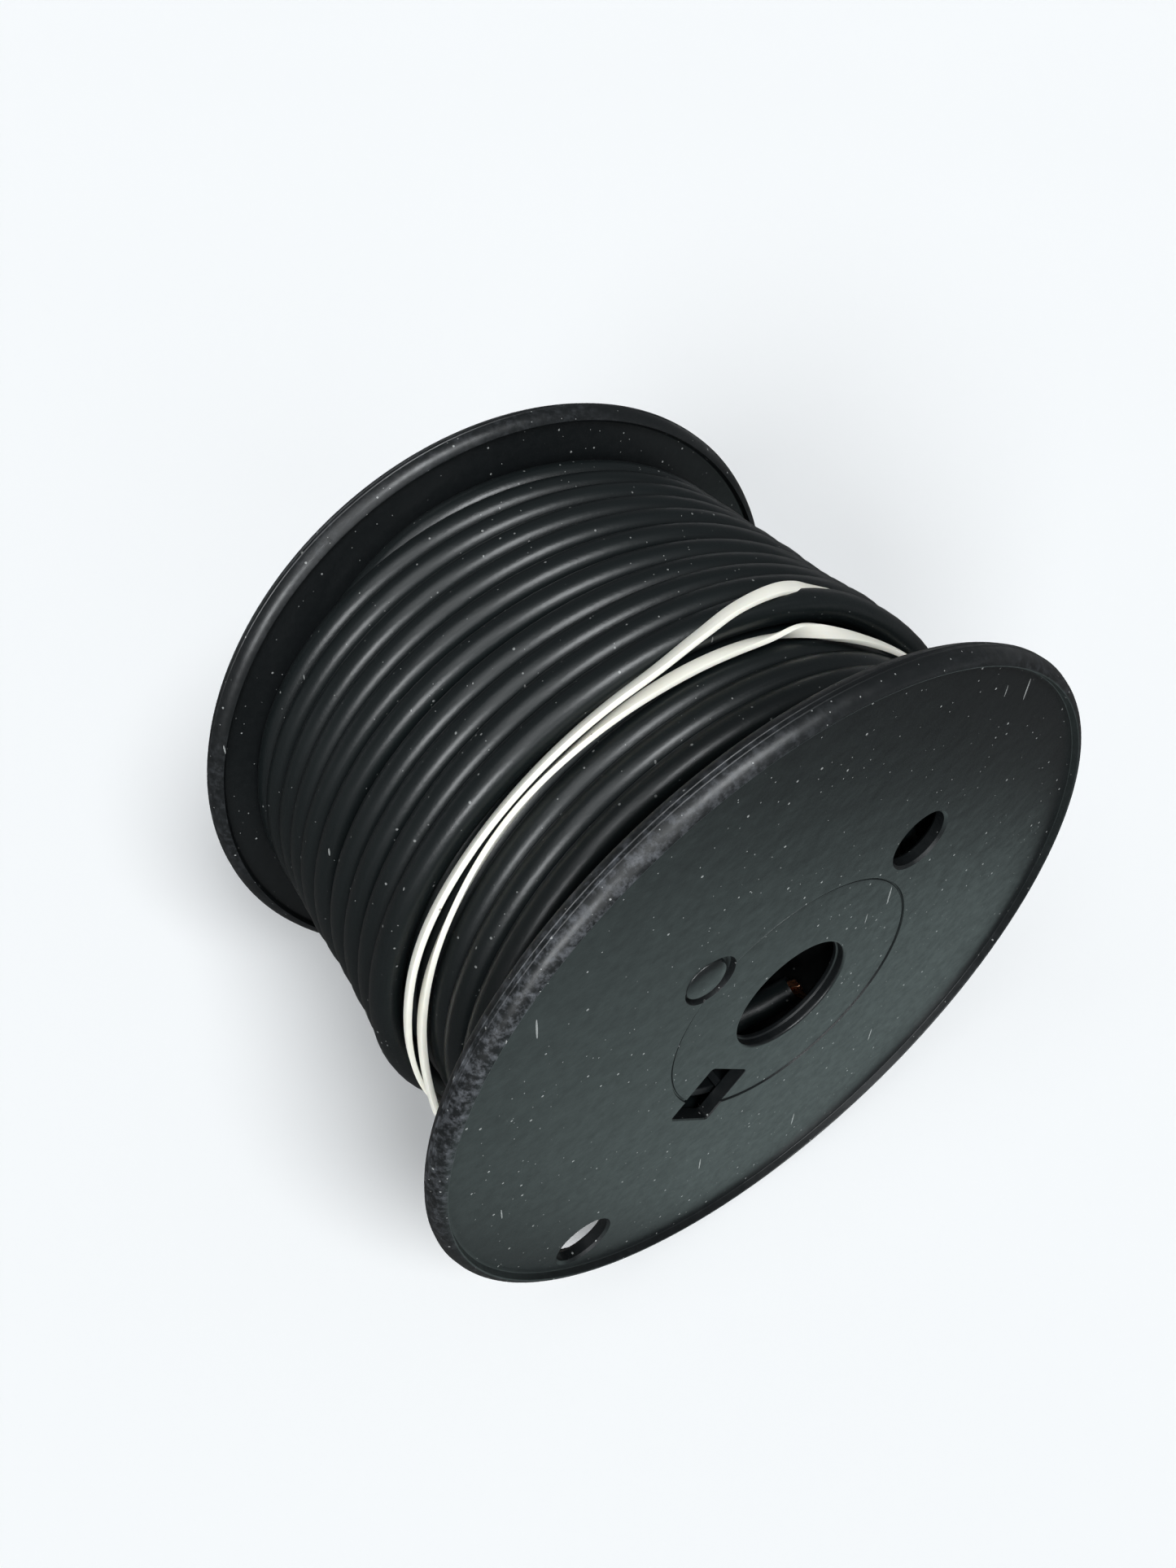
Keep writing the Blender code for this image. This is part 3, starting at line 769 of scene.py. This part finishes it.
LINT_TURNS = ((0.4, 0.9, 0.2), (1.3, 0.1, 1.1), (2.2, 1.7, 0.6))     # the ways in which fibres lie


def dust(shader, place, share):
    """Dust and lint: fine dots and short fibres lying in several directions."""
    dots = shader.specks(place, 620.0, 0.085, share)
    grains = shader.specks(place, 1500.0, 0.10, share * 0.5)
    mask = shader.math("MAXIMUM", dots, grains)
    for turn_angles in LINT_TURNS:
        bent = shader.mapped(place, (1.0, 1.0, 0.07), turn_angles)
        fibre = shader.specks(bent, 520.0, 0.055, share * 0.6)
        mask = shader.math("MAXIMUM", mask, fibre)
    return mask


WORN_SIDE = (-0.79, -0.40, 0.61)    # the near rim is most rubbed towards this side
WORN_REACH = (0.040, 0.055)         # and how far out that way the rubbing begins and is full
RIM_START = (0.0429, 0.0432)        # radii between which the face goes over into the rim
PLASTIC_TONES = ((0.0040, 0.0050, 0.0055, 1.0), (0.0068, 0.0082, 0.0088, 1.0))
SCUFF_TONE = (0.17, 0.18, 0.20, 1.0)
PLASTIC_LINT = (0.42, 0.43, 0.42, 1.0)
VINYL_TONES = ((0.0036, 0.0055, 0.0058, 1.0), (0.0058, 0.0085, 0.0090, 1.0))
VINYL_LINT = (0.36, 0.37, 0.36, 1.0)
COPPER_TONES = ((0.86, 0.36, 0.17, 1.0), (0.95, 0.55, 0.33, 1.0))
RUBBER_TONES = ((0.86, 0.84, 0.74, 1.0), (0.93, 0.91, 0.82, 1.0))
RUBBER_DIRT = (0.20, 0.17, 0.13, 1.0)
FLOOR_TONES = ((0.965, 0.965, 0.965, 1.0), (0.985, 0.985, 0.985, 1.0))


def flange_material():
    shader = Shader("moulded_plastic")
    place = shader.place()
    cloud = shader.noise(place, 45.0, 4.0, 0.6)
    grain = shader.noise(place, 900.0, 3.0, 0.6)
    peel = shader.noise(place, 260.0, 2.0, 0.5)
    pits = shader.specks(place, 330.0, 0.10, 0.25)
    colour = shader.mix(cloud, *PLASTIC_TONES)
    split = shader.node("ShaderNodeSeparateXYZ", {"Vector": place})
    squares = [shader.math("POWER", split.outputs[axis], 2.0) for axis in ("X", "Z")]
    radius = shader.math("SQRT", shader.math("ADD", *squares))
    on_rim = shader.remap(radius, *RIM_START)
    rub = shader.noise(place, 1100.0, 6.0, 0.75)
    patch = shader.remap(shader.noise(place, 60.0, 2.0, 0.5), 0.42, 0.60)
    worn = shader.node("ShaderNodeVectorMath", {0: place, 1: WORN_SIDE}, operation="DOT_PRODUCT")
    worn_mask = shader.remap(worn.outputs["Value"], *WORN_REACH)
    patch = shader.math("MAXIMUM", shader.math("MULTIPLY", patch, 0.25), worn_mask)
    scuff = shader.math("MULTIPLY", shader.remap(rub, 0.46, 0.70), shader.math("MULTIPLY", on_rim, patch))
    colour = shader.mix(shader.math("MULTIPLY", scuff, 0.50), colour, SCUFF_TONE)
    lint = dust(shader, place, 0.42)
    colour = shader.mix(shader.math("MULTIPLY", lint, 0.55), colour, PLASTIC_LINT)
    rough = shader.remap(grain, 0.3, 0.7, 0.31, 0.42)
    rough = shader.math("ADD", rough, shader.math("MULTIPLY", scuff, 0.2), clamp=True)
    shader.set(Base_Color=colour, Roughness=rough, IOR=1.5)
    shader.bumped((peel, 0.00009), (grain, 0.000022), (pits, 0.00007))
    return shader.material


def vinyl_material():
    shader = Shader("black_vinyl")
    place = shader.place()
    along = shader.attribute("wire_place")
    streak = shader.noise(shader.mapped(along, (22.0, 2600.0, 1.0)), 1.0, 4.0, 0.6)
    cloud = shader.noise(shader.mapped(along, (60.0, 300.0, 1.0)), 1.0, 3.0, 0.5)
    grit = shader.noise(place, 2600.0, 2.0, 0.6)
    colour = shader.mix(cloud, *VINYL_TONES)
    lint = dust(shader, place, 0.36)
    colour = shader.mix(shader.math("MULTIPLY", lint, 0.5), colour, VINYL_LINT)
    rough = shader.remap(streak, 0.3, 0.7, 0.31, 0.40)
    shader.set(Base_Color=colour, Roughness=rough, IOR=1.5)
    shader.bumped((streak, 0.000005), (grit, 0.000016), (cloud, 0.00002))
    return shader.material


def copper_material():
    shader = Shader("copper")
    place = shader.place()
    tone = shader.noise(place, 1800.0, 3.0, 0.6)
    colour = shader.mix(tone, *COPPER_TONES)
    shader.set(Base_Color=colour, Metallic=1.0, Roughness=shader.remap(tone, 0.3, 0.7, 0.22, 0.4))
    shader.bumped((shader.noise(place, 5200.0, 2.0), 0.00001))
    return shader.material


def rubber_material():
    shader = Shader("cream_rubber")
    place = shader.place()
    along = shader.attribute("band_place")
    tone = shader.noise(place, 160.0, 3.0, 0.5)
    colour = shader.mix(tone, *RUBBER_TONES)
    dirt = shader.specks(place, 700.0, 0.10, 0.06)
    colour = shader.mix(shader.math("MULTIPLY", dirt, 0.7), colour, RUBBER_DIRT)
    cuts = shader.noise(shader.mapped(along, (60.0, 3500.0, 3500.0)), 1.0, 2.0, 0.5)
    rough = shader.remap(cuts, 0.3, 0.7, 0.55, 0.72)
    shader.set(Base_Color=colour, Roughness=rough, Subsurface_Weight=0.15,
               Subsurface_Radius=(0.0012, 0.0009, 0.0006))
    shader.bumped((cuts, 0.00002), (shader.noise(place, 1500.0, 2.0), 0.00001))
    return shader.material


def floor_material():
    shader = Shader("pale_floor")
    tone = shader.noise(shader.place(), 3.0, 2.0, 0.5)
    colour = shader.mix(tone, *FLOOR_TONES)
    shader.set(Base_Color=colour, Roughness=0.9, Specular_IOR_Level=0.0)
    return shader.material


# ---------------------------------------------------------------- making the spool
START_REACH = 0.0009                                # the starting strands stand out a little
START_BEND = Vector((-0.0005, -0.0008, 0.0002))     # and the cut pushed them over to this side

plastic = flange_material()
vinyl = vinyl_material()
copper = copper_material()

wire, wire_path, wire_length, (start_tangent, finish_tangent) = make_wire(vinyl)
start_strands = make_strands("start_strands", wire_path[0], start_tangent, copper, START_REACH, START_BEND)
finish_strands = make_strands("finish_strands", wire_path[-1], -finish_tangent, copper)
near = make_flange("near_moulding", -1, plastic)
far = make_flange("far_moulding", 1, plastic)
barrel = make_barrel(plastic)
band = make_band(rubber_material())

wire_layers = ["wire_layer_%d" % layer for layer in range(1, 8)]
strand_numbers = range(1, 20)
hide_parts(*wire_layers, "start_end_jacket", "finish_end_jacket")
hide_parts(*["start_end_strand_%02d" % number for number in strand_numbers])
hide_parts(*["finish_end_strand_%02d" % number for number in strand_numbers])
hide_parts("near_flange")
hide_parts("far_flange")
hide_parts("barrel")
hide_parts("rubber_band")

for piece, slot in ((wire, "jacket_vinyl"), (start_strands, "bare_copper"), (finish_strands, "bare_copper"),
                    (near, "flange_plastic"), (far, "flange_plastic"), (barrel, "barrel_plastic"),
                    (band, "band_rubber")):
    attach(piece, "root")

# ---------------------------------------------------------------- floor, light
UNIT_SQUARE = ((-1, -1), (1, -1), (1, 1), (-1, 1))
FLOOR_HALF = 3.0
FLOOR_DROP = 0.00008        # clear of the rims' fine ridges
FLOOR_LEVEL = -FLANGE_RADIUS - FLOOR_DROP
# Painted reflection: a glowing sheet on the floor that only reflections see. Its bright part, in front of
# the near flange, stands in for brightly lit floor. Its dark part stands in for shaded floor round the
# spool.
PAINTED_REFLECTION_BRIGHT, PAINTED_REFLECTION_DARK = (0.46, 0.58, 0.57, 1.0), (0.085, 0.085, 0.085, 1.0)
PAINTED_REFLECTION_BRIGHT_END, PAINTED_REFLECTION_DARK_START = 0.075, 0.097     # metres along the sheet, where the painted reflection fades to dark
PAINTED_REFLECTION_START = (0.015, 0.025)                         # and where it begins to be bright
PAINTED_REFLECTION_CENTRE, PAINTED_REFLECTION_HALF_WIDTH, PAINTED_REFLECTION_EDGE = 0.015, 0.085, 0.03
PAINTED_REFLECTION_TURN = math.radians(180.0 + 29.9)              # its length runs forwards and a little to the right
PAINTED_REFLECTION_HALF, PAINTED_REFLECTION_LIFT = 1.0, 0.00004                 # its half size, and how far over the floor it lies


def square_sheet(name, half, height, material):
    """A level square for the stage."""
    mesh = mesh_from(name, [(half * x, half * y, height) for x, y in UNIT_SQUARE], [(0, 1, 2, 3)])
    return new_piece(name, mesh, material)


def painted_reflection_material():
    """A glowing sheet for painted reflection: bright in front of the near flange, and dark elsewhere as a
    painted reflection of shade.
    """
    shader = Shader("painted_reflection_sheet")
    split = shader.node("ShaderNodeSeparateXYZ", {"Vector": shader.place()})
    beside = shader.math("ABSOLUTE", shader.math("SUBTRACT", split.outputs["X"], PAINTED_REFLECTION_CENTRE))
    lit = shader.math("MULTIPLY", shader.remap(split.outputs["Y"], PAINTED_REFLECTION_DARK_START, PAINTED_REFLECTION_BRIGHT_END),
                      shader.remap(beside, PAINTED_REFLECTION_HALF_WIDTH + PAINTED_REFLECTION_EDGE, PAINTED_REFLECTION_HALF_WIDTH))
    lit = shader.math("MULTIPLY", lit, shader.remap(split.outputs["Y"], *PAINTED_REFLECTION_START))
    glow = shader.mix(lit, PAINTED_REFLECTION_DARK, PAINTED_REFLECTION_BRIGHT)
    emission = shader.node("ShaderNodeEmission", {"Color": glow, "Strength": 1.0})
    output = shader.tree.nodes["Material Output"]
    shader.tree.links.new(emission.outputs[0], output.inputs["Surface"])
    return shader.material


floor = square_sheet("floor", FLOOR_HALF, FLOOR_LEVEL, floor_material())
# The painted reflection sheet: it glows, but only reflections see it.
painted_reflection = square_sheet("painted_reflection_sheet", PAINTED_REFLECTION_HALF, 0.0, painted_reflection_material())
painted_reflection.location = (0.0, 0.0, FLOOR_LEVEL + PAINTED_REFLECTION_LIFT)
painted_reflection.rotation_euler = (0.0, 0.0, PAINTED_REFLECTION_TURN)
for ray_kind in ("camera", "diffuse", "shadow", "transmission", "volume_scatter"):
    setattr(painted_reflection, "visible_" + ray_kind, False)         # only reflections see it


COOL_WHITE = (0.95, 0.98, 1.0)
SUNS = (                    # broad lights from far away: name, direction, strength, width in degrees
    ("window_high", (0.0, -0.6276, 0.7786), 2.1, 24.0),
    ("window_left", (-0.70, -0.6276, 0.341), 1.7, 20.0),
    ("window_top", (-0.528, -0.087, 0.845), 0.35, 30.0),
    ("window_low", (-0.155, -0.956, 0.248), 0.4, 30.0),
    ("camera_side", (-0.50, -0.37, 0.78), 0.22, 12.0),
)
for light_name, direction, strength, width in SUNS:
    light_data = bpy.data.lights.new(light_name, "SUN")
    light_data.energy = strength
    light_data.angle = math.radians(width)
    light_data.color = COOL_WHITE
    light = bpy.data.objects.new(light_name, light_data)
    light.rotation_euler = Vector(direction).to_track_quat("Z", "Y").to_euler()
    scene.collection.objects.link(light)

WORLD_COLOUR, WORLD_STRENGTH = (0.92, 0.96, 1.0, 1.0), 0.12
world = bpy.data.worlds.new("studio")
world.use_nodes = True
world.node_tree.nodes["Background"].inputs["Color"].default_value = WORLD_COLOUR
world.node_tree.nodes["Background"].inputs["Strength"].default_value = WORLD_STRENGTH
scene.world = world
scene.view_settings.view_transform = "Standard"
